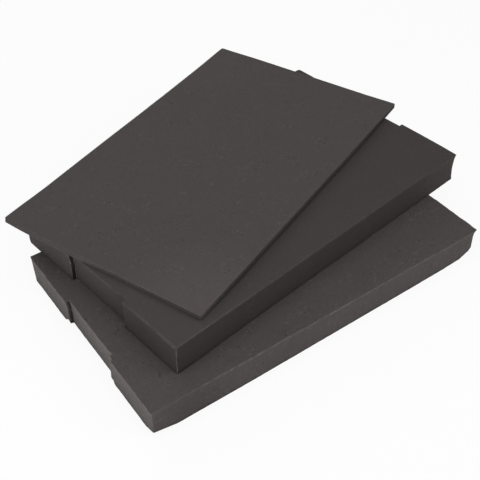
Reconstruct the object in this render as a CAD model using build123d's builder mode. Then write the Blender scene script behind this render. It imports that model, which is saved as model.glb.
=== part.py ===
from build123d import *

# Foam insert for a carrying case: a thick base pad, a thick middle pad and a thin cover sheet.
# One die cuts both pads to the inside of the case, with a shallow recess in each short end that
# clears a rib in the case wall. The layers lie loose on one another, fanned out.
# Millimetres, +Z up. The origin is the centre of the base pad's underside, and X runs along that
# pad's long sides.

import os

# Outline of the die that cuts both pads, and the foam sheet they are cut from
pad_length = 400.0
pad_width = 240.0
pad_thickness = 35.0

# Recess in each short end
recess_length = 85.0
recess_depth = 4.5

# Cut sides: the blade squeezes the foam on its way through, so a side springs back hollow and
# ends a little further in at its foot. The middle pad's left end was cut out of square.
dish_depth = 1.5
foot_tuck = 0.5
middle_left_lean = 2.2

# Rounding at the foot of each layer's sides, and how full it is for its height
pad_foot_round = 1.2
sheet_foot_round = 1.2
foot_fullness = 0.22

# Front right corner of the base pad, worn round, and rounder towards the foot
corner_top_radius = 4.5
corner_foot_radius = 14.0
corner_margin = 1.0

# Front left corner of the base pad, whose upright edge is whole but has lost the tip at its foot
tip_along_front = 30.0
tip_along_end = 10.0
tip_height = 6.5
tip_cutter = 60.0

# Cover sheet, cut from thinner stock
sheet_length = 397.0
sheet_width = 243.0
sheet_thickness = 5.0
sheet_corner_radius = 2.5

# Where the upper layers lie: the centre of each, and how far it is turned from the base pad
middle_shift_x = 25.5
middle_shift_y = 48.0
middle_turn = 7.65
sheet_shift_x = 17.8
sheet_shift_y = 102.6
sheet_turn = 21.5

# How far the recess cutter stands out past the ends of a pad
cutter_overrun = 10.0

def layer_plane(shift_x, shift_y, height, turn):
    """Plane of a layer's underside, centred on the layer, with X along its long sides."""
    return Plane(origin=(shift_x, shift_y, height)).rotated((0, 0, turn))

def side_plane(plane):
    """Upright plane at a pad's back long side, looking through to its front one."""
    middle = Plane(origin=plane.origin, x_dir=plane.x_dir, z_dir=-plane.y_dir)
    return middle.offset(-pad_width / 2)

def end_plane(plane):
    """Upright plane at one short end of a pad, looking through to the other."""
    middle = Plane(origin=plane.origin, x_dir=plane.y_dir, z_dir=plane.x_dir)
    return middle.offset(-pad_length / 2)

def cut_section(span, left_lean):
    """Upright section from one cut side to the other, each dished, tucked in and rounded at its foot."""
    top = span / 2
    foot = top - foot_tuck
    flat = foot - pad_foot_round
    left_foot = -foot - left_lean
    left_flat = -flat - left_lean
    bulge = pad_foot_round * foot_fullness
    with BuildSketch() as section:
        with BuildLine():
            Line((left_flat, 0), (flat, 0))
            SagittaArc((flat, 0), (foot, pad_foot_round), -bulge)
            SagittaArc((foot, pad_foot_round), (top, pad_thickness), dish_depth)
            Line((top, pad_thickness), (-top, pad_thickness))
            SagittaArc((-top, pad_thickness), (left_foot, pad_foot_round), dish_depth)
            SagittaArc((left_foot, pad_foot_round), (left_flat, 0), -bulge)
        make_face()
    return section.sketch

def recess_section(left_lean):
    """Upright section of what the recesses take off both ends, down to a floor cut as a side is."""
    with BuildSketch() as section:
        with Locations((0, pad_thickness / 2)):
            Rectangle(pad_length + 2 * cutter_overrun, pad_thickness)
        floor_span = pad_length - 2 * recess_depth
        add(cut_section(floor_span, left_lean), mode=Mode.SUBTRACT)
    return section.sketch

def die_cut_pad(plane, left_lean):
    """Pad cut from sheet foam: what its two upright sections share, less the recesses."""
    with BuildPart() as pad:
        with BuildSketch(side_plane(plane)):
            add(cut_section(pad_length, left_lean))
        extrude(amount=pad_width)
        with BuildSketch(end_plane(plane).offset(-cutter_overrun)):
            add(cut_section(pad_width, 0))
        extrude(amount=pad_length + 2 * cutter_overrun, mode=Mode.INTERSECT)
        with BuildSketch(side_plane(plane).offset((pad_width - recess_length) / 2)):
            add(recess_section(left_lean))
        extrude(amount=recess_length, mode=Mode.SUBTRACT)
    return pad.part

def worn_outline(radius):
    """Outline a little wider than a pad, with its front right corner rounded."""
    with BuildSketch() as outline:
        Rectangle(pad_length + 2 * corner_margin, pad_width + 2 * corner_margin)
        front_corners = outline.vertices().sort_by(Axis.Y)[:2]
        fillet(front_corners.sort_by(Axis.X)[-1], radius)
    return outline.sketch

def tip_plane():
    """Oblique plane under the base pad's front left corner, facing away from the pad."""
    corner = Vector(-pad_length / 2, -pad_width / 2, 0)
    on_front = corner + Vector(tip_along_front, 0, 0)
    on_end = corner + Vector(0, tip_along_end, 0)
    on_edge = corner + Vector(0, 0, tip_height)
    facing = (on_edge - on_front).cross(on_end - on_front)
    return Plane(origin=(on_front + on_end + on_edge) / 3, x_dir=on_end - on_front, z_dir=facing)

# Base pad, flat on the table
base_plane = layer_plane(0, 0, 0, 0)
with BuildPart() as base_pad:
    add(die_cut_pad(base_plane, 0))
    with BuildSketch(base_plane):
        add(worn_outline(corner_foot_radius))
    with BuildSketch(base_plane.offset(pad_thickness)):
        add(worn_outline(corner_top_radius))
    loft(mode=Mode.INTERSECT)
    with BuildSketch(tip_plane()):
        Rectangle(tip_cutter, tip_cutter)
    extrude(amount=tip_cutter, mode=Mode.SUBTRACT)
base_pad.part.label = "base_pad"

# Middle pad, flat on the base pad
middle_plane = layer_plane(middle_shift_x, middle_shift_y, pad_thickness, middle_turn)
with BuildPart() as middle_pad:
    add(die_cut_pad(middle_plane, middle_left_lean))
middle_pad.part.label = "middle_pad"

# Cover sheet, flat on the middle pad
sheet_plane = layer_plane(sheet_shift_x, sheet_shift_y, 2 * pad_thickness, sheet_turn)
with BuildPart() as cover_sheet:
    with BuildSketch(sheet_plane) as sheet_outline:
        Rectangle(sheet_length, sheet_width)
        fillet(sheet_outline.vertices(), sheet_corner_radius)
    extrude(amount=sheet_thickness)
    fillet(cover_sheet.faces().sort_by(Axis.Z)[0].edges(), sheet_foot_round)
cover_sheet.part.label = "cover_sheet"

os.makedirs("parts", exist_ok=True)
export_step(base_pad.part, "parts/base_pad.step")
export_step(middle_pad.part, "parts/middle_pad.step")
export_step(cover_sheet.part, "parts/cover_sheet.step")
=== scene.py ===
import math

import bmesh
import bpy
from mathutils import Euler, Matrix, Vector, noise


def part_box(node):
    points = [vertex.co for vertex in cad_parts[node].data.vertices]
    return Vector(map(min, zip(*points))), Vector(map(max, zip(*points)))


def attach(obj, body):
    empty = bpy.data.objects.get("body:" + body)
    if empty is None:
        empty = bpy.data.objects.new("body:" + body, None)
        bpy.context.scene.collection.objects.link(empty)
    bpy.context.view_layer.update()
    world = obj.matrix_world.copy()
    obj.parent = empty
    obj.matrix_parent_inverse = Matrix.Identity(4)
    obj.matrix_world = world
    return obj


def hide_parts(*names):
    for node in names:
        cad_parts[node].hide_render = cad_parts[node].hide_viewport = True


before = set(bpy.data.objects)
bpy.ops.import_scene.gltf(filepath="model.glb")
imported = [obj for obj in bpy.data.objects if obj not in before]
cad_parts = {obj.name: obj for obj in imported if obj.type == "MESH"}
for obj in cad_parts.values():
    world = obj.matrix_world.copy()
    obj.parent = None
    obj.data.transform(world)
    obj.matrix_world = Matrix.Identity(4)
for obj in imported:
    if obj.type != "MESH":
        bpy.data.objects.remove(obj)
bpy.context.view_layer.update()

# ---------------------------------------------------------------------------
# Sizes, in metres. The pads' outline and every layer's height come from the frame.
# ---------------------------------------------------------------------------
MM = 0.001

base_low, base_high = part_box("base_pad")
PAD_LENGTH = base_high[0] - base_low[0]
PAD_WIDTH = base_high[1] - base_low[1]
RECESS_LENGTH = 85 * MM
RECESS_DEPTH = 4.5 * MM

SHEET_LENGTH = 397 * MM
SHEET_WIDTH = 243 * MM
SHEET_CORNER = 2.5 * MM
SHEET_CORNER_SEGMENTS = 4

# Front edge of the sheet: how far it stands off the pad, and what share of that it moves forward
FRONT_LIFT = 2.3 * MM
FRONT_SLIDE = 0.67

# Where the layers lie: the centre of each in X and Y, and its turn in degrees
BASE_LAY = (0.0, 0.0, 0.0)
MIDDLE_LAY = (25.5 * MM, 48.0 * MM, 7.65)
SHEET_LAY = (17.8 * MM, 102.6 * MM, 21.5)

# Cut sides: over how much of the pad the grid behind them leans with them, how far the burr at
# their top stands out, and how far down it reaches
SIDE_BAND = 16 * MM
BURR_REACH = 0.45 * MM
BURR_HEIGHT = 3.5 * MM

# Painted shade on the step walls of the recesses: its tone beside the recess floor, and how far
# below the top it stops
STEP_PAINTED_SHADE = -0.88
STEP_TOP = 3 * MM

# How far up a lost foot tip moves the foam, in heights of the tip
TIP_REACH = 2.2

# Mesh: distance between grid lines, rows up a cut side, and the small rounding of a cut edge
GRID = 2 * MM
PAD_WALL_ROWS = 14
SHEET_WALL_ROWS = 1
EDGE_ROUND = 0.35 * MM
EDGE_SEGMENTS = 4

# Cut edges are those where the faces turn by more than SHARP. A normal that lies along one axis
# by more than FLAT belongs to a face, not to a rounded edge. Points closer than WELD are one.
SHARP = math.radians(45)
FLAT = 0.9995
WELD = 0.01 * MM

# Fray with painted highlight along the edges, and painted shade along the pads' foot: what is
# left of it at the border of an edge's rounding, how far along a side it reaches from the top and
# the foot, and what share of the foot's painted tone shows there
FRAY_HIGHLIGHT_BORDER = 0.45
FRAY_HIGHLIGHT_BAND = 3 * MM
FOOT_PAINTED_TONE_SHARE = 0.6

# Unevenness of a cut side: wavelength, what is added to the seed, and reach in millimetres. The
# waves are stretched up the side, since the blade runs that way.
SIDE_WAVES = ((30 * MM, 0, 0.30), (7 * MM, 5, 0.16), (4.1 * MM, 9, 0.10))
SIDE_STRETCH = 0.35

# Wavelengths and seeds of the other waves: a frayed edge, the top, the right end and the foot
EDGE_WAVE, EDGE_SEED = 4.6 * MM, 13
TOP_WAVE, TOP_SEED = 45 * MM, 17
RAGGED_WAVE, RAGGED_SEED = 6.5 * MM, 21
FOOT_WAVE, FOOT_SEED = 5.5 * MM, 25

# Reach of an edge's waves and of the top's, in millimetres; how high the ragged foot reaches, and
# between which places in X the right end turns ragged
EDGE_REACH = 0.22
TOP_REACH = 0.12
RAGGED_FOOT = 5 * MM
RAGGED_FROM = 190 * MM
RAGGED_TO = 197 * MM

# How far around its centre a place of painted light or shade keeps its full tone
SHADE_CORE = 15 * MM

# Foam pattern, in cycles a metre
CELL_SCALE = 1100
GRAIN_SCALE = 2200
TORN_SCALE = 480
TORN_BEND_SCALE = 420
TORN_BEND = 3.5 * MM
ROUGH_PATCH_SCALE = 42
PATCH_SCALE = 150
CLOUD_SCALE = 28
STREAK_SCALE = 210
THREAD_SCALE = 420
STROKE_SCALE = 150

# Share of the floor that the camera sees as plain white; the rest keeps the shadow
FLOOR_GLOW = 0.9


# ---------------------------------------------------------------------------
# Foam meshes. A layer is made in its own space: centre of its underside, X along it.
# ---------------------------------------------------------------------------
def layer_place(node, lay):
    """Matrix from a layer's own space to the frame."""
    x, y, turn = lay
    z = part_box(node)[0][2]
    return Matrix.Translation((x, y, z)) @ Matrix.Rotation(math.radians(turn), 4, "Z")


def layer_height(node):
    """Height of a layer, from its foot to its top."""
    low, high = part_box(node)
    return high[2] - low[2]


def smooth_ramp(value, start, end):
    """0 up to start, 1 from end on, and a smooth rise between them."""
    share = min(max((value - start) / (end - start), 0.0), 1.0)
    return share * share * (3 - 2 * share)


def read_stations(stations, position):
    """Value at a position, read off a list of stations: (position in millimetres, value)."""
    place = position / MM
    if place <= stations[0][0]:
        return stations[0][1]
    for (start, first), (end, second) in zip(stations, stations[1:]):
        if place <= end:
            return first + (second - first) * (place - start) / (end - start)
    return stations[-1][1]


def flat_grid(length, width):
    """Flat grid of quads, as large as the layer."""
    bm = bmesh.new()
    columns = round(length / GRID)
    rows = round(width / GRID)
    bmesh.ops.create_grid(bm, x_segments=columns, y_segments=rows, size=0.5)
    bmesh.ops.scale(bm, vec=(length, width, 1), verts=bm.verts)
    return bm


def cut_recesses(bm):
    """Cuts the rib recess out of both ends of a pad's grid."""
    floor_x = PAD_LENGTH / 2 - RECESS_DEPTH
    for vert in bm.verts:
        if abs(abs(vert.co.x) - floor_x) < GRID / 2:
            vert.co.x = math.copysign(floor_x, vert.co.x)
        if abs(abs(vert.co.y) - RECESS_LENGTH / 2) < GRID / 2:
            vert.co.y = math.copysign(RECESS_LENGTH / 2, vert.co.y)
    waste = []
    for face in bm.faces:
        middle = face.calc_center_median()
        if abs(middle.x) > floor_x and abs(middle.y) < RECESS_LENGTH / 2:
            waste.append(face)
    bmesh.ops.delete(bm, geom=waste, context="FACES")


def raise_walls(bm, height, rows):
    """Extrudes the flat grid to a closed slab with the given number of rows up its sides."""
    raised = bmesh.ops.extrude_face_region(bm, geom=bm.faces[:], use_keep_orig=True)
    top = [item for item in raised["geom"] if isinstance(item, bmesh.types.BMVert)]
    bmesh.ops.translate(bm, vec=(0, 0, height), verts=top)
    bmesh.ops.recalc_face_normals(bm, faces=bm.faces)
    posts = [edge for edge in bm.edges if edge.calc_length() > height * 0.9 and is_upright(edge)]
    bmesh.ops.subdivide_edges(bm, edges=posts, cuts=rows - 1, use_grid_fill=True)


def is_upright(edge):
    """True for an edge that runs along Z."""
    rise = edge.verts[1].co - edge.verts[0].co
    return abs(rise.z) > 0.99 * rise.length


def sharp_edges(bm):
    """Edges where two faces of the slab meet at a corner."""
    return [edge for edge in bm.edges if edge.calc_face_angle(0.0) > SHARP]


def soften_edges(bm, fray_and_highlight):
    """Rounds cut edges a little; marks cut sides, fray with painted highlight, and painted shade at
    the foot.
    """
    bmesh.ops.bevel(bm, geom=sharp_edges(bm), offset=EDGE_ROUND, offset_type="OFFSET",
                    segments=EDGE_SEGMENTS, profile=0.5, affect="EDGES", clamp_overlap=True,
                    material=-1)
    bm.normal_update()
    fray_highlight_layer = bm.verts.layers.float.new("fray_and_highlight")
    side = bm.verts.layers.float.new("cut_side")
    top = max(vert.co.z for vert in bm.verts)
    for vert in bm.verts:
        flatness = max(abs(part) for part in vert.normal)
        upright = 1.0 - smooth_ramp(abs(vert.normal.z), 0.1, 0.4)
        vert[side] = 1.0 - smooth_ramp(abs(vert.normal.z), 0.3, 0.8)
        edge, band = side_fray_and_highlight(fray_and_highlight, vert)
        # On an edge's rounding: pale fray with painted highlight, and painted tone at the foot
        # (shade on the pads)
        if flatness < FLAT:
            level = fray_and_highlight["foot"] if vert.co.z < top / 2 else edge
            across, along = sorted((abs(vert.normal.x), abs(vert.normal.y)))
            corner = smooth_ramp(across, 0.05 * along, 0.3 * along) * upright if along else 0.0
            share = level + (fray_and_highlight["upright"] - level) * corner
            border = FRAY_HIGHLIGHT_BORDER * (fray_and_highlight["halo"] if vert.normal.z > 0.9 else 1.0)
            vert[fray_highlight_layer] = share * (1.0 - (1 - border) * smooth_ramp(flatness, 0.84, 0.97))
        # Painted highlight on the side just below the top edge, and painted tone just above the
        # foot
        elif upright > 0.5 and vert.co.z > top - FRAY_HIGHLIGHT_BAND:
            vert[fray_highlight_layer] = band
        elif upright > 0.5 and vert.co.z < FRAY_HIGHLIGHT_BAND:
            vert[fray_highlight_layer] = fray_and_highlight["foot"] * FOOT_PAINTED_TONE_SHARE


def side_fray_and_highlight(fray_and_highlight, vert):
    """How frayed and highlighted the top edge is beside a point, and how much of that painted
    highlight shows on the side below.
    """
    if abs(vert.normal.x) > abs(vert.normal.y):
        name = "left" if vert.normal.x < 0 else "right"
        position = vert.co.y
    else:
        name = "front" if vert.normal.y < 0 else "back"
        position = vert.co.x
    edge = read_stations(fray_and_highlight[name], position)
    return edge, edge * fray_and_highlight[name + "_band"]


def paint_step_shade(bm, height):
    """Marks painted shade on the step walls of the recesses, darker towards the recess floor."""
    end_x = PAD_LENGTH / 2
    painted_step_shade = bm.loops.layers.float.new("painted_step_shade")
    for face in bm.faces:
        middle = face.calc_center_median()
        at_step = abs(abs(middle.y) - RECESS_LENGTH / 2) < 0.1 * MM and abs(face.normal.y) > 0.99
        in_depth = end_x - RECESS_DEPTH < abs(middle.x) < end_x
        if at_step and in_depth and middle.z < height - STEP_TOP:
            for loop in face.loops:
                outward = smooth_ramp(abs(loop.vert.co.x), end_x - RECESS_DEPTH, end_x)
                loop[painted_step_shade] = STEP_PAINTED_SHADE * (1 - outward)


def sign(value):
    """-1 or 1, for the side of the middle that a value is on."""
    return -1 if value < 0 else 1


def side_reach(z, height, side, position):
    """How far a cut side stands out past the outline at height z, at a place along the side."""
    top = read_stations(side["top"], position) * MM
    foot = read_stations(side["foot"], position) * MM
    dish = read_stations(side["dish"], position) * MM
    foot_round = side["round"] * MM
    burr = BURR_REACH * smooth_ramp(z, height - BURR_HEIGHT, height)
    if z < foot_round:
        drop = foot_round - z
        return foot - foot_round + math.sqrt(max(foot_round ** 2 - drop ** 2, 0.0))
    share = (z - foot_round) / (height - foot_round)
    return foot + (top - foot) * share - 4 * dish * share * (1 - share) + burr


def lean_sides(bm, height, sides):
    """Shapes the sides as the blade leaves them: hollow, burred at the top, rounded at the foot."""
    end_x = PAD_LENGTH / 2 - RECESS_DEPTH
    end_y = PAD_WIDTH / 2
    for vert in bm.verts:
        x, y, z = vert.co
        end = sides["left"] if x < 0 else sides["right"]
        long_side = sides["front"] if y < 0 else sides["back"]
        share_x = smooth_ramp(abs(x), end_x - SIDE_BAND, end_x)
        share_y = smooth_ramp(abs(y), end_y - SIDE_BAND, end_y)
        vert.co.x += sign(x) * side_reach(z, height, end, y) * share_x
        vert.co.y += sign(y) * side_reach(z, height, long_side, x) * share_y


def round_corner(bm, sign_x, sign_y, radii):
    """Rounds one upright corner of a pad, by a radius that is read off stations up the corner."""
    for vert in bm.verts:
        radius = read_stations(radii, vert.co.z) * MM
        centre_x = PAD_LENGTH / 2 - radius
        centre_y = PAD_WIDTH / 2 - radius
        x = vert.co.x * sign_x - centre_x
        y = vert.co.y * sign_y - centre_y
        if x <= 0 or y <= 0:
            continue
        reach = max(x, y) / math.hypot(x, y)
        vert.co.x = sign_x * (centre_x + x * reach)
        vert.co.y = sign_y * (centre_y + y * reach)


def wear_tip(bm, sign_x, along_front, along_end, tip_height):
    """Takes the tip off a front corner's foot, along an oblique flat."""
    reach_up = TIP_REACH * tip_height
    for vert in bm.verts:
        from_end = PAD_LENGTH / 2 - vert.co.x * sign_x
        from_front = PAD_WIDTH / 2 + vert.co.y
        rise = tip_height * (1 - from_end / along_front - from_front / along_end)
        if rise > 0 and vert.co.z < reach_up:
            vert.co.z += rise * (1 - vert.co.z / reach_up)


def dent(bm, place, radius, push):
    """Pushes the foam around one place, all in millimetres."""
    centre = Vector(place) * MM
    move = Vector(push) * MM
    for vert in bm.verts:
        share = 1 - smooth_ramp((vert.co - centre).length, 0.0, radius * MM)
        vert.co += move * share


def waves(point, wavelength, seed):
    """Smooth noise between -1 and 1 with about this wavelength."""
    return noise.noise(point / wavelength + Vector((seed, seed * 0.37, seed * 0.71)))


def paint_light_and_shade(bm, painted_light_shades):
    """Marks painted light and shade: how much paler or darker a layer is around given places."""
    shade = bm.verts.layers.float.new("shade")
    for vert in bm.verts:
        for place, reach, on_top, on_side in painted_light_shades:
            away = (vert.co - Vector(place) * MM).length
            here = 1 - smooth_ramp(away, SHADE_CORE, reach * MM)
            up = max(vert.normal.z, 0.0)
            vert[shade] += here * (on_side + (on_top - on_side) * up)


def roughen(bm, seed, side_rough, foot_rough, ragged_end):
    """Uneven cut sides, edges that wander a little, and a top that isn't quite flat.

    The three measures are the reach, in millimetres or as a share, of the sides' waves, of the
    ragged foot, and of the ragged edge at the right end.
    """
    bm.normal_update()
    fray_and_highlight = bm.verts.layers.float["fray_and_highlight"]
    moves = []
    for vert in bm.verts:
        normal = vert.normal
        upright = 1.0 - abs(normal.z)
        drawn = Vector((vert.co.x, vert.co.y, vert.co.z * SIDE_STRETCH))
        side_move = sum(waves(drawn, wavelength, seed + more) * reach
                        for wavelength, more, reach in SIDE_WAVES)
        side_move *= side_rough * upright
        at_foot = 1 - smooth_ramp(vert.co.z, 0.0, RAGGED_FOOT)
        foot_move = foot_rough * (waves(drawn, FOOT_WAVE, seed + FOOT_SEED) - 0.1)
        side_move += foot_move * at_foot * upright
        edge_move = waves(vert.co, EDGE_WAVE, seed + EDGE_SEED) * EDGE_REACH * vert[fray_and_highlight]
        end_share = smooth_ramp(vert.co.x, RAGGED_FROM, RAGGED_TO) * ragged_end
        edge_move += waves(vert.co, RAGGED_WAVE, seed + RAGGED_SEED) * end_share
        top_move = 0.0
        if normal.z > 0.5:
            top_move = -TOP_REACH - TOP_REACH * waves(vert.co, TOP_WAVE, seed + TOP_SEED)
        outward = Vector((normal.x, normal.y, max(normal.z, 0.0)))
        moves.append(outward * ((side_move + edge_move) * MM) + Vector((0, 0, top_move * MM)))
    for vert, move in zip(bm.verts, moves):
        vert.co += move
        vert.co.z = max(vert.co.z, 0.0)
    bm.normal_update()


def finished_piece(bm, name, node, place, material):
    """Writes the mesh in the frame's own space and hands the piece to the frame."""
    bmesh.ops.transform(bm, matrix=place, verts=bm.verts)
    for face in bm.faces:
        face.smooth = True
    mesh = bpy.data.meshes.new(name)
    bm.to_mesh(mesh)
    bm.free()
    mesh.materials.append(material)
    piece = bpy.data.objects.new(name, mesh)
    bpy.context.scene.collection.objects.link(piece)
    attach(piece, "root")
    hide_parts(node)
    return piece


def pad_piece(name, node, lay, material, sides, corners, tips, dents, fray_and_highlight, painted_light_shades,
              seed, side_rough, foot_rough, ragged_end):
    """One thick pad, cut to the shared outline."""
    height = layer_height(node)
    bm = flat_grid(PAD_LENGTH, PAD_WIDTH)
    cut_recesses(bm)
    raise_walls(bm, height, PAD_WALL_ROWS)
    soften_edges(bm, fray_and_highlight)
    paint_step_shade(bm, height)
    lean_sides(bm, height, sides)
    for sign_x, sign_y, radii in corners:
        round_corner(bm, sign_x, sign_y, radii)
    for sign_x, along_front, along_end, tip_height in tips:
        wear_tip(bm, sign_x, along_front * MM, along_end * MM, tip_height * MM)
    for place, radius, push in dents:
        dent(bm, place, radius, push)
    bm.normal_update()
    paint_light_and_shade(bm, painted_light_shades)
    roughen(bm, seed, side_rough, foot_rough, ragged_end)
    return finished_piece(bm, name, node, layer_place(node, lay), material)


def slant_sheet_sides(bm, height, left_slant, front_slant):
    """The sheet was cut at a slant: foot further out in front, top further back on the left."""
    half_x = SHEET_LENGTH / 2
    half_y = SHEET_WIDTH / 2
    for vert in bm.verts:
        share = vert.co.z / height
        top_back = read_stations(left_slant, vert.co.y) * MM * share
        foot_out = read_stations(front_slant, vert.co.x) * MM * (1 - share)
        vert.co.x += top_back * smooth_ramp(-vert.co.x, half_x - 10 * MM, half_x)
        vert.co.y -= foot_out * smooth_ramp(-vert.co.y, half_y - 10 * MM, half_y)


def curl_sheet(bm):
    """The sheet doesn't lie quite flat: its front edge and two corners stand off a little."""
    half_x = SHEET_LENGTH / 2
    half_y = SHEET_WIDTH / 2
    for vert in bm.verts:
        x, y = vert.co.xy
        near_corner = 1 - smooth_ramp(x + half_x, 0.0, 60 * MM)
        far_end = smooth_ramp(x, half_x - 90 * MM, half_x)
        front = FRONT_LIFT * smooth_ramp(-y, half_y - 45 * MM, half_y)
        front *= (1 - 0.75 * near_corner) * (1 - 0.7 * far_end)
        from_left = math.hypot(x + half_x, y - half_y)
        left_corner = 1 - smooth_ramp(from_left, 0.0, 70 * MM)
        left_tip = 1 - smooth_ramp(from_left, 0.0, 25 * MM)
        back_corner = 1 - smooth_ramp(math.hypot(x - half_x, y - half_y), 0.0, 60 * MM)
        back = smooth_ramp(y, half_y - 30 * MM, half_y)
        back *= 1 - smooth_ramp(abs(x - 60 * MM), 0.0, 120 * MM)
        vert.co.z += front + 1.6 * MM * left_corner
        vert.co.x += (0.8 * left_tip - 1.2 * back_corner) * MM - 0.88 * front * near_corner
        vert.co.y += (1.2 * back_corner - 0.6 * back) * MM - FRONT_SLIDE * front


def sheet_piece(name, node, lay, material, left_slant, front_slant, fray_and_highlight, painted_light_shades,
                seed, side_rough):
    """The thin cover sheet, with small round corners."""
    height = layer_height(node)
    bm = flat_grid(SHEET_LENGTH, SHEET_WIDTH)
    raise_walls(bm, height, SHEET_WALL_ROWS)
    corners = [edge for edge in sharp_edges(bm) if is_upright(edge)]
    bmesh.ops.bevel(bm, geom=corners, offset=SHEET_CORNER, offset_type="OFFSET",
                    segments=SHEET_CORNER_SEGMENTS, profile=0.5, affect="EDGES",
                    clamp_overlap=False, material=-1)
    bmesh.ops.remove_doubles(bm, verts=bm.verts, dist=WELD)
    soften_edges(bm, fray_and_highlight)
    slant_sheet_sides(bm, height, left_slant, front_slant)
    curl_sheet(bm)
    bm.normal_update()
    paint_light_and_shade(bm, painted_light_shades)
    roughen(bm, seed, side_rough, 0.0, 0.0)
    return finished_piece(bm, name, node, layer_place(node, lay), material)


# ---------------------------------------------------------------------------
# Foam material
# ---------------------------------------------------------------------------
def group_socket(group, name, direction, kind="NodeSocketFloat", value=None):
    """Adds a named socket to a node group."""
    socket = group.interface.new_socket(name=name, in_out=direction, socket_type=kind)
    if value is not None:
        socket.default_value = value
    return socket


def math_node(nodes, links, operation, first, second):
    """Math node whose inputs are sockets or plain numbers."""
    node = nodes.new("ShaderNodeMath")
    node.operation = operation
    for index, value in enumerate((first, second)):
        if isinstance(value, bpy.types.NodeSocket):
            links.new(value, node.inputs[index])
        else:
            node.inputs[index].default_value = value
    return node.outputs[0]


def map_node(nodes, links, value, from_min, from_max, to_min, to_max):
    """Clamped Map Range node."""
    node = nodes.new("ShaderNodeMapRange")
    links.new(value, node.inputs["Value"])
    node.inputs["From Min"].default_value = from_min
    node.inputs["From Max"].default_value = from_max
    node.inputs["To Min"].default_value = to_min
    node.inputs["To Max"].default_value = to_max
    return node.outputs["Result"]


def noise_node(nodes, links, vector, scale, detail=2.0, roughness=0.5):
    """Noise between 0 and 1 at a scale in cycles a metre."""
    node = nodes.new("ShaderNodeTexNoise")
    links.new(vector, node.inputs["Vector"])
    node.inputs["Scale"].default_value = scale
    node.inputs["Detail"].default_value = detail
    node.inputs["Roughness"].default_value = roughness
    return node.outputs["Fac"]


def open_cell_group():
    """Open cells of soft foam: a tone that varies about 1, and a height for the bump."""
    group = bpy.data.node_groups.new("open_cells", "ShaderNodeTree")
    group_socket(group, "Vector", "INPUT", "NodeSocketVector")
    group_socket(group, "Cell Contrast", "INPUT", value=0.3)
    group_socket(group, "Speck Contrast", "INPUT", value=0.3)
    group_socket(group, "Mottle", "INPUT", value=0.1)
    group_socket(group, "Tone", "OUTPUT")
    group_socket(group, "Height", "OUTPUT")
    nodes = group.nodes
    links = group.links
    inside = nodes.new("NodeGroupInput")
    outside = nodes.new("NodeGroupOutput")
    vector = inside.outputs["Vector"]

    cells = nodes.new("ShaderNodeTexVoronoi")
    cells.feature = "F1"
    links.new(vector, cells.inputs["Vector"])
    cells.inputs["Scale"].default_value = CELL_SCALE
    cells.inputs["Randomness"].default_value = 1.0
    pore = map_node(nodes, links, cells.outputs["Distance"], 0.1, 0.75, 0.0, 1.0)
    fine = noise_node(nodes, links, vector, GRAIN_SCALE, 2.0, 0.6)
    wander = math_node(nodes, links, "SUBTRACT", pore, 0.5)
    grain = math_node(nodes, links, "SUBTRACT", fine, 0.5)
    cell_sum = math_node(nodes, links, "ADD", wander, grain)
    cell_part = math_node(nodes, links, "MULTIPLY", cell_sum, inside.outputs["Cell Contrast"])

    # Torn cell walls: pale and dark specks, gathered in rough patches
    curl = nodes.new("ShaderNodeTexNoise")
    links.new(vector, curl.inputs["Vector"])
    curl.inputs["Scale"].default_value = TORN_BEND_SCALE
    bend = nodes.new("ShaderNodeVectorMath")
    bend.operation = "MULTIPLY_ADD"
    links.new(curl.outputs["Color"], bend.inputs[0])
    bend.inputs[1].default_value = (TORN_BEND, TORN_BEND, TORN_BEND)
    links.new(vector, bend.inputs[2])
    torn = nodes.new("ShaderNodeTexVoronoi")
    torn.feature = "F1"
    links.new(bend.outputs["Vector"], torn.inputs["Vector"])
    torn.inputs["Scale"].default_value = TORN_SCALE
    torn.inputs["Randomness"].default_value = 1.0
    shade = nodes.new("ShaderNodeSeparateColor")
    links.new(torn.outputs["Color"], shade.inputs["Color"])
    pale_specks = map_node(nodes, links, shade.outputs["Red"], 0.86, 0.92, 0.0, 1.0)
    dark_pits = map_node(nodes, links, shade.outputs["Green"], 0.94, 0.98, 0.0, 1.0)
    rough = noise_node(nodes, links, vector, ROUGH_PATCH_SCALE, 3.0, 0.6)
    rough_patches = map_node(nodes, links, rough, 0.46, 0.66, 0.08, 1.0)
    speck_sum = math_node(nodes, links, "SUBTRACT", pale_specks, dark_pits)
    speck_here = math_node(nodes, links, "MULTIPLY", speck_sum, rough_patches)
    speck_part = math_node(nodes, links, "MULTIPLY", speck_here, inside.outputs["Speck Contrast"])

    patches = noise_node(nodes, links, vector, PATCH_SCALE, 3.0, 0.6)
    clouds = noise_node(nodes, links, vector, CLOUD_SCALE, 2.0, 0.5)
    patch_part = math_node(nodes, links, "SUBTRACT", patches, 0.5)
    cloud_part = math_node(nodes, links, "SUBTRACT", clouds, 0.5)
    mottle_sum = math_node(nodes, links, "ADD", patch_part, cloud_part)
    mottle = math_node(nodes, links, "MULTIPLY", mottle_sum, inside.outputs["Mottle"])

    coarse_part = math_node(nodes, links, "ADD", speck_part, mottle)
    total = math_node(nodes, links, "ADD", cell_part, coarse_part)
    tone = math_node(nodes, links, "ADD", total, 1.0)
    links.new(tone, outside.inputs["Tone"])

    grain_height = math_node(nodes, links, "MULTIPLY", fine, 0.5)
    speck_height = math_node(nodes, links, "MULTIPLY", speck_here, 0.8)
    bumps = math_node(nodes, links, "ADD", pore, grain_height)
    height = math_node(nodes, links, "ADD", bumps, speck_height)
    links.new(height, outside.inputs["Height"])
    return group


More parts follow.
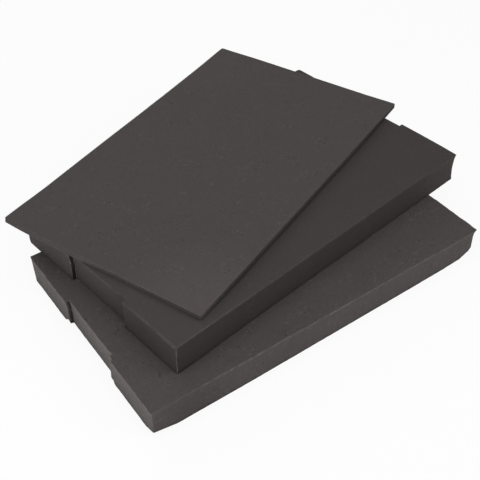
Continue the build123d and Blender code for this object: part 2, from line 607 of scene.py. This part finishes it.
def cut_streak_group():
    """Faint streaks that run up a cut side, as a tone about 0."""
    group = bpy.data.node_groups.new("cut_streaks", "ShaderNodeTree")
    group_socket(group, "Vector", "INPUT", "NodeSocketVector")
    group_socket(group, "Streak Contrast", "INPUT", value=0.1)
    group_socket(group, "Tone", "OUTPUT")
    nodes = group.nodes
    links = group.links
    inside = nodes.new("NodeGroupInput")
    outside = nodes.new("NodeGroupOutput")
    stretch = nodes.new("ShaderNodeVectorMath")
    stretch.operation = "MULTIPLY"
    links.new(inside.outputs["Vector"], stretch.inputs[0])
    stretch.inputs[1].default_value = (1.0, 1.0, 0.12)
    streak = noise_node(nodes, links, stretch.outputs["Vector"], STREAK_SCALE, 3.0, 0.6)
    about_zero = math_node(nodes, links, "SUBTRACT", streak, 0.5)
    tone = math_node(nodes, links, "MULTIPLY", about_zero, inside.outputs["Streak Contrast"])
    links.new(tone, outside.inputs["Tone"])
    return group


def edge_fray_highlight_group():
    """Pale fibres and painted highlight along a cut edge: how pale, from 0 to 1, where the mask
    says there's an edge.
    """
    group = bpy.data.node_groups.new("edge_fray_highlight", "ShaderNodeTree")
    group_socket(group, "Vector", "INPUT", "NodeSocketVector")
    group_socket(group, "Mask", "INPUT", value=0.0)
    group_socket(group, "Broken", "INPUT", value=0.5)
    group_socket(group, "Pale", "OUTPUT")
    nodes = group.nodes
    links = group.links
    inside = nodes.new("NodeGroupInput")
    outside = nodes.new("NodeGroupOutput")
    threads = noise_node(nodes, links, inside.outputs["Vector"], THREAD_SCALE, 3.0, 0.65)
    gaps = map_node(nodes, links, threads, 0.40, 0.60, 0.4, 1.4)
    strokes = noise_node(nodes, links, inside.outputs["Vector"], STROKE_SCALE, 1.0, 0.5)
    stroke_here = map_node(nodes, links, strokes, 0.44, 0.55, 0.1, 1.4)
    torn = math_node(nodes, links, "MULTIPLY", gaps, stroke_here)
    whole = math_node(nodes, links, "SUBTRACT", 1.0, inside.outputs["Broken"])
    torn_part = math_node(nodes, links, "MULTIPLY", torn, inside.outputs["Broken"])
    kept = math_node(nodes, links, "ADD", torn_part, whole)
    pale = math_node(nodes, links, "MULTIPLY", kept, inside.outputs["Mask"])
    links.new(pale, outside.inputs["Pale"])
    return group


def foam_material(name, face_colour, side_colour, cell_contrast, speck_contrast, mottle,
                  streaks, fray_highlight_gain, fray_highlight_broken):
    """Dark open-cell foam: one colour on flat faces, another on cut sides, pale frayed edges with
    painted highlight, and painted light and shade.
    """
    material = bpy.data.materials.new(name)
    material.use_nodes = True
    nodes = material.node_tree.nodes
    links = material.node_tree.links
    nodes.clear()
    output = nodes.new("ShaderNodeOutputMaterial")
    shader = nodes.new("ShaderNodeBsdfPrincipled")
    links.new(shader.outputs["BSDF"], output.inputs["Surface"])
    shader.inputs["Roughness"].default_value = 0.95
    shader.inputs["Specular IOR Level"].default_value = 0.12
    shader.inputs["Sheen Weight"].default_value = 0.0

    place = nodes.new("ShaderNodeTexCoord")
    foam = nodes.new("ShaderNodeGroup")
    foam.node_tree = open_cells
    links.new(place.outputs["Object"], foam.inputs["Vector"])
    foam.inputs["Cell Contrast"].default_value = cell_contrast
    foam.inputs["Speck Contrast"].default_value = speck_contrast
    foam.inputs["Mottle"].default_value = mottle

    side = nodes.new("ShaderNodeAttribute")
    side.attribute_name = "cut_side"
    blend = nodes.new("ShaderNodeMix")
    blend.data_type = "RGBA"
    blend.inputs["A"].default_value = (*face_colour, 1)
    blend.inputs["B"].default_value = (*side_colour, 1)
    links.new(side.outputs["Fac"], blend.inputs["Factor"])

    drawn = nodes.new("ShaderNodeGroup")
    drawn.node_tree = cut_streaks
    links.new(place.outputs["Object"], drawn.inputs["Vector"])
    drawn.inputs["Streak Contrast"].default_value = streaks
    side_tone = math_node(nodes, links, "MULTIPLY", drawn.outputs["Tone"], side.outputs["Fac"])

    # Fray with painted highlight along the edges, and painted shade along the pads' foot
    edge = nodes.new("ShaderNodeAttribute")
    edge.attribute_name = "fray_and_highlight"
    fibres_and_highlight = nodes.new("ShaderNodeGroup")
    fibres_and_highlight.node_tree = edge_fray_highlight
    links.new(place.outputs["Object"], fibres_and_highlight.inputs["Vector"])
    links.new(edge.outputs["Fac"], fibres_and_highlight.inputs["Mask"])
    fibres_and_highlight.inputs["Broken"].default_value = fray_highlight_broken
    edge_tone = math_node(nodes, links, "MULTIPLY", fibres_and_highlight.outputs["Pale"], fray_highlight_gain)

    # Painted light and shade around given places
    painted_light_node = nodes.new("ShaderNodeAttribute")
    painted_light_node.attribute_name = "shade"
    fray_highlight_and_painted_light = math_node(nodes, links, "ADD", edge_tone, painted_light_node.outputs["Fac"])

    # Painted shade on the recess step walls
    step = nodes.new("ShaderNodeAttribute")
    step.attribute_name = "painted_step_shade"
    side_sum = math_node(nodes, links, "ADD", side_tone, step.outputs["Fac"])

    extra = math_node(nodes, links, "ADD", side_sum, fray_highlight_and_painted_light)
    tone = math_node(nodes, links, "ADD", foam.outputs["Tone"], extra)
    scale = nodes.new("ShaderNodeVectorMath")
    scale.operation = "SCALE"
    links.new(blend.outputs["Result"], scale.inputs["Vector"])
    links.new(tone, scale.inputs["Scale"])
    links.new(scale.outputs["Vector"], shader.inputs["Base Color"])

    bump = nodes.new("ShaderNodeBump")
    bump.inputs["Strength"].default_value = 0.35
    bump.inputs["Distance"].default_value = 0.25 * MM
    links.new(foam.outputs["Height"], bump.inputs["Height"])
    links.new(bump.outputs["Normal"], shader.inputs["Normal"])
    return material


# ---------------------------------------------------------------------------
# Floor, world, lamps and camera
# ---------------------------------------------------------------------------
def add_floor():
    """White floor: it bounces light as a studio table does and keeps a faint shadow."""
    bm = bmesh.new()
    bmesh.ops.create_grid(bm, x_segments=1, y_segments=1, size=4)
    bmesh.ops.translate(bm, vec=(0, 0, -0.2 * MM), verts=bm.verts)
    mesh = bpy.data.meshes.new("floor")
    bm.to_mesh(mesh)
    bm.free()
    material = bpy.data.materials.new("floor_white")
    material.use_nodes = True
    nodes = material.node_tree.nodes
    links = material.node_tree.links
    nodes.clear()
    output = nodes.new("ShaderNodeOutputMaterial")
    matte = nodes.new("ShaderNodeBsdfDiffuse")
    matte.inputs["Color"].default_value = (0.88, 0.88, 0.88, 1)
    glow = nodes.new("ShaderNodeEmission")
    glow.inputs["Color"].default_value = (1, 1, 1, 1)
    glow.inputs["Strength"].default_value = 1.0
    rays = nodes.new("ShaderNodeLightPath")
    share = nodes.new("ShaderNodeMath")
    share.operation = "MULTIPLY"
    links.new(rays.outputs["Is Camera Ray"], share.inputs[0])
    share.inputs[1].default_value = FLOOR_GLOW
    mix = nodes.new("ShaderNodeMixShader")
    links.new(share.outputs[0], mix.inputs[0])
    links.new(matte.outputs[0], mix.inputs[1])
    links.new(glow.outputs[0], mix.inputs[2])
    links.new(mix.outputs[0], output.inputs["Surface"])
    mesh.materials.append(material)
    floor = bpy.data.objects.new("floor", mesh)
    bpy.context.scene.collection.objects.link(floor)


def add_world(strength):
    """Even white surround; what the camera sees of it is plain white."""
    world = bpy.data.worlds.new("studio")
    bpy.context.scene.world = world
    world.use_nodes = True
    nodes = world.node_tree.nodes
    links = world.node_tree.links
    nodes.clear()
    output = nodes.new("ShaderNodeOutputWorld")
    surround = nodes.new("ShaderNodeBackground")
    surround.inputs["Color"].default_value = (1, 1, 1, 1)
    surround.inputs["Strength"].default_value = strength
    plain = nodes.new("ShaderNodeBackground")
    plain.inputs["Color"].default_value = (1, 1, 1, 1)
    plain.inputs["Strength"].default_value = 1.0
    rays = nodes.new("ShaderNodeLightPath")
    seen = nodes.new("ShaderNodeMath")
    seen.operation = "MAXIMUM"
    links.new(rays.outputs["Is Camera Ray"], seen.inputs[0])
    links.new(rays.outputs["Is Glossy Ray"], seen.inputs[1])
    mix = nodes.new("ShaderNodeMixShader")
    links.new(seen.outputs[0], mix.inputs[0])
    links.new(surround.outputs[0], mix.inputs[1])
    links.new(plain.outputs[0], mix.inputs[2])
    links.new(mix.outputs[0], output.inputs["Surface"])


def add_area_lamp(name, place, target, size_x, size_y, power):
    """Soft box aimed at a point."""
    data = bpy.data.lights.new(name, "AREA")
    data.shape = "RECTANGLE"
    data.size = size_x
    data.size_y = size_y
    data.energy = power
    lamp = bpy.data.objects.new(name, data)
    lamp.location = place
    aim = Vector(target) - Vector(place)
    lamp.rotation_euler = aim.to_track_quat("-Z", "Y").to_euler()
    lamp.visible_camera = False
    bpy.context.scene.collection.objects.link(lamp)


def add_camera():
    """Looks down on the stack from its near left corner."""
    data = bpy.data.cameras.new("camera")
    data.sensor_width = 36
    data.lens = 64.078
    camera = bpy.data.objects.new("camera", data)
    camera.location = (-0.38392, -0.52546, 0.64278)
    yaw = math.radians(34.658)
    down = math.radians(42.847)
    roll = math.radians(-0.973)
    level = Euler((math.pi / 2 - down, 0, -yaw)).to_matrix()
    camera.rotation_euler = (level @ Matrix.Rotation(roll, 3, "Z")).to_euler()
    bpy.context.scene.collection.objects.link(camera)
    bpy.context.scene.camera = camera


# ---------------------------------------------------------------------------
# The object and its scene
# ---------------------------------------------------------------------------
open_cells = open_cell_group()
cut_streaks = cut_streak_group()
edge_fray_highlight = edge_fray_highlight_group()
base_foam = foam_material(
    "base_foam", face_colour=(0.0677, 0.0592, 0.0580), side_colour=(0.0674, 0.0600, 0.0586),
    cell_contrast=0.32, speck_contrast=0.36, mottle=0.14, streaks=0.16, fray_highlight_gain=0.60,
    fray_highlight_broken=0.9)
# The middle's side colour is darker than its face colour: painted shade on its cut sides
middle_foam = foam_material(
    "middle_foam", face_colour=(0.0478, 0.0416, 0.0406), side_colour=(0.0394, 0.0334, 0.0325),
    cell_contrast=0.16, speck_contrast=0.15, mottle=0.06, streaks=0.05, fray_highlight_gain=2.20,
    fray_highlight_broken=0.55)
# The sheet's side colour is darker than its face colour: painted shade on its cut sides
sheet_foam = foam_material(
    "sheet_foam", face_colour=(0.0618, 0.0543, 0.0531), side_colour=(0.0520, 0.0460, 0.0450),
    cell_contrast=0.26, speck_contrast=0.25, mottle=0.06, streaks=0.0, fray_highlight_gain=0.35,
    fray_highlight_broken=0.5)

# How far each cut side stands out past the outline at its top and at its foot, and how hollow it
# is between them: stations along the side and millimetres
base_sides = {
    "front": {"top": [(-180, 0.2), (-80, 0.6), (0, 0.8), (60, 0.8), (120, 0.6)],
              "foot": [(-200, 0.2), (-165, 0.4), (-130, 0.8), (-90, 1.0), (0, 0.7), (120, 0.4),
                       (160, -0.1), (200, -1.0)],
              "dish": [(-200, 1.0), (150, 1.0), (200, 0.6)], "round": 0.5},
    "back": {"top": [(0, 0.0)], "foot": [(0, -0.5)], "dish": [(-200, 0.2), (-160, 1.2)],
             "round": 1.2},
    "left": {"top": [(0, 0.1)], "foot": [(-120, 0.15), (40, 0.05), (60, 0.15)],
             "dish": [(-120, 0.8), (60, 1.0), (112, 0.1)], "round": 0.8},
    "right": {"top": [(0, -0.3)], "foot": [(0, -0.1)], "dish": [(-120, 0.0), (-60, 1.2)],
              "round": 0.8},
}
middle_sides = {
    "front": {"top": [(-200, 0.0), (-120, 0.1), (-20, 0.3), (60, 0.1), (150, 0.3), (200, 0.6)],
              "foot": [(-200, 0.4), (-175, 0.8), (-140, 0.2), (-60, 0.0), (100, 0.2), (150, 0.2),
                       (200, 0.0)],
              "dish": [(0, 1.0)], "round": 0.6},
    "back": {"top": [(150, 0.2), (196, 1.8)], "foot": [(0, -0.5)],
             "dish": [(-200, 0.2), (-160, 1.2)], "round": 1.2},
    "left": {"top": [(-120, 0.7), (-85, 0.8), (-50, 1.3), (-42, 2.0)],
             "foot": [(-120, 2.2), (-100, 2.5), (120, 2.3)],
             "dish": [(-120, 0.4), (-60, 1.0), (60, 1.0), (112, 0.1)], "round": 0.8},
    "right": {"top": [(-120, -0.7), (-100, 0.3), (-75, 0.9), (-40, 1.4)],
              "foot": [(-120, 0.1), (-60, 0.2)], "dish": [(-120, 1.0), (-60, 1.2)],
              "round": 0.8},
}

# Upright corners: side in X, side in Y, and the radius by stations up the corner
base_corners = [
    (-1, -1, [(0, 1.0), (35, 1.5)]),
    (1, -1, [(0, 20.0), (3, 10.5), (6, 3.6), (10, 2.8), (17, 3.6), (24, 4.0), (33, 2.6),
             (35, 1.2)]),
    (-1, 1, [(0, 1.5), (35, 0.8)]),
    (1, 1, [(0, 4.0), (35, 2.0)]),
]
middle_corners = [
    (-1, -1, [(0, 1.0)]),
    (1, -1, [(0, 1.0), (35, 1.6)]),
    (-1, 1, [(0, 1.0), (35, 0.8)]),
    (1, 1, [(0, 3.0), (35, 1.0)]),
]

# Front corners that lost the tip of their foot: side in X, reach along the front, along the end
# and up
base_tips = [(-1, 24, 14, 5.5)]

# How far the sheet's top edge stands back from its foot: along the left end, and along the front
left_slant = [(-121, 0.3), (-60, 0.5), (0, 0.8), (60, 1.1)]
front_slant = [(150, 0.6), (195, 0.0)]

# How frayed each top edge is, along it, with painted highlight; "_band" is what share of that
# shows on the side just below, and "halo" what share of it shows on the flat face beside the
# edge. A negative "foot" is painted shade along the foot.
base_fray_highlight = {
    "front": [(-200, 0.2), (-160, 0.4), (-110, 0.8), (-30, 0.85), (60, 0.7), (160, 0.25)],
    "left": [(0, 1.4)], "back": [(0, 0.9)], "right": [(0, 0.9)],
    "front_band": 1.1, "left_band": 0.3, "back_band": 0.4, "right_band": 0.4,
    "upright": 0.75, "halo": 0.0, "foot": -0.45,
}
middle_fray_highlight = {
    "front": [(-200, 0.6), (-165, 0.4), (-100, 0.25), (0, 0.1)],
    "left": [(-120, 0.5), (-100, 0.35), (-50, 0.2)], "back": [(0, 0.3)], "right": [(0, 0.3)],
    "front_band": 0.0, "left_band": 0.7, "back_band": 0.3, "right_band": 0.3,
    "upright": 1.8, "halo": 1.0, "foot": -0.12,
}
sheet_fray_highlight = {
    "front": [(0, 0.3)], "left": [(0, 1.0), (60, 0.6)], "back": [(0, 0.3)], "right": [(0, 0.3)],
    "front_band": 0.0, "left_band": 0.0, "back_band": 0.0, "right_band": 0.0,
    "upright": 0.3, "halo": 1.0, "foot": 0.15,
}

# Places where a pad is worn or torn, all in millimetres: centre, how far around it, and push
base_dents = [((-200, -44, 35), 9, (2.6, 0, -0.6)), ((-200, 46, 0), 7, (1.6, 0, 3.0)),
              ((-200, -44, 0), 5, (1.2, 0, 0.8))]
middle_dents = [((-196, -38, 35), 12, (2.8, 0, -1.6))]

# Painted light and shade, places that are paler or darker than the rest: centre, how far around
# it, on top and on the side
base_painted_light = [((-160, -140, 10), 50, 0.0, -0.16), ((200, -60, 35), 220, -0.035, 0.0),
               ((-200, 70, 15), 60, 0.0, -0.08), ((-200, -15, 15), 45, 0.0, 0.06)]
middle_painted_light = [((-200, -120, 35), 150, 0.12, -0.07), ((-205, -60, 15), 50, 0.0, -0.12),
                 ((200, -20, 35), 230, -0.045, 0.0)]
sheet_painted_light = [((-198, -121, 5), 120, 0.20, 0.0), ((160, 121, 5), 120, 0.05, 0.0),
                ((198, -121, 5), 120, 0.0, -0.5), ((-198, 60, 3), 150, 0.0, -0.1),
                ((-80, -122, 2), 150, 0.0, -0.2), ((80, -122, 2), 150, 0.0, -0.2),
                ((-150, -135, 2), 60, 0.0, -0.2)]

pad_piece("base_pad_foam", "base_pad", BASE_LAY, base_foam,
          sides=base_sides, corners=base_corners, tips=base_tips, dents=base_dents,
          fray_and_highlight=base_fray_highlight, painted_light_shades=base_painted_light,
          seed=1.7, side_rough=1.0, foot_rough=0.4, ragged_end=0.5)
pad_piece("middle_pad_foam", "middle_pad", MIDDLE_LAY, middle_foam,
          sides=middle_sides, corners=middle_corners, tips=[], dents=middle_dents,
          fray_and_highlight=middle_fray_highlight, painted_light_shades=middle_painted_light,
          seed=14.3, side_rough=0.7, foot_rough=0.8, ragged_end=0.0)
sheet_piece("cover_sheet_foam", "cover_sheet", SHEET_LAY, sheet_foam,
            left_slant=left_slant, front_slant=front_slant,
            fray_and_highlight=sheet_fray_highlight, painted_light_shades=sheet_painted_light, seed=31.9, side_rough=0.5)

add_floor()
add_world(0.0)
add_area_lamp("overhead_box", (-0.2, -0.1, 1.5), (0, 0.05, 0), 1.4, 1.4, 11.9)
add_area_lamp("back_box", (0.1, 1.7, 1.1), (0, 0.05, 0.03), 1.2, 1.2, 11.7)
add_area_lamp("left_box", (-1.6, -0.1, 1.1), (0, 0.05, 0.03), 1.2, 1.2, 5.1)
add_area_lamp("front_box", (0.0, -1.7, 1.1), (0, 0.05, 0.03), 1.2, 1.2, 8.3)
add_area_lamp("front_right_box", (1.2, -1.2, 1.1), (0, 0.05, 0.03), 1.2, 1.2, 13.4)
add_area_lamp("left_low_panel", (-1.2, 0.0, 0.3), (0, 0.0, 0.03), 1.2, 0.5, 5.4)
add_area_lamp("table_glow", (0.0, 0.05, 0.0005), (0.0, 0.05, 1.0), 3.0, 3.0, 8.8)
add_area_lamp("right_table_glow", (0.75, 0.0, 0.002), (0.75, 0.0, 1.0), 0.9, 0.9, 1.63)
add_area_lamp("near_left_table_glow", (-0.30, -0.02, 0.001), (-0.30, -0.02, 1.0), 0.17, 0.3, 0.16)
add_camera()

scene = bpy.context.scene
scene.view_settings.view_transform = "Standard"
